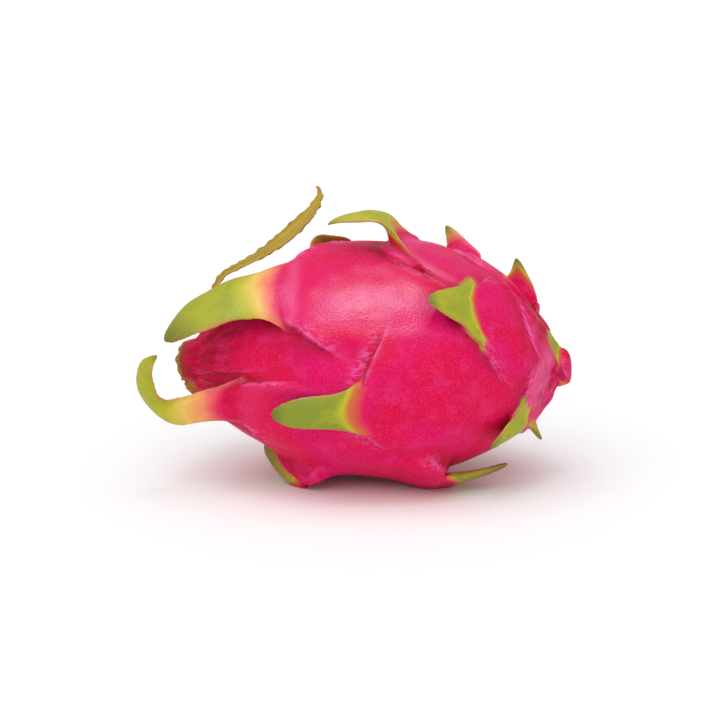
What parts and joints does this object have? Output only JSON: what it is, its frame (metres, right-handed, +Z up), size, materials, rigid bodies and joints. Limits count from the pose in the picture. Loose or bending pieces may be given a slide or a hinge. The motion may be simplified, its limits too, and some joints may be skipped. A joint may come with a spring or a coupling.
{
  "type": "dragon fruit",
  "caption": "Ripe red dragon fruit lying on its side: plump oval body, leafy green-tipped bracts, dried flower remains at one end and a short stem at the other.",
  "frame": {"origin": "on the surface the fruit lies on, under the centre of its bounding box", "axes": "+X along the fruit from the flower end to the stem end, +Z up, -Y the side shown in the picture"},
  "size_m": [0.1472, 0.0884, 0.0963],
  "materials": {
    "skin": "soft satin, waxy, pink with yellow-green bracts"
  },
  "bodies": {
    "root": {"fruit": "skin"}
  },
  "joints": []
}
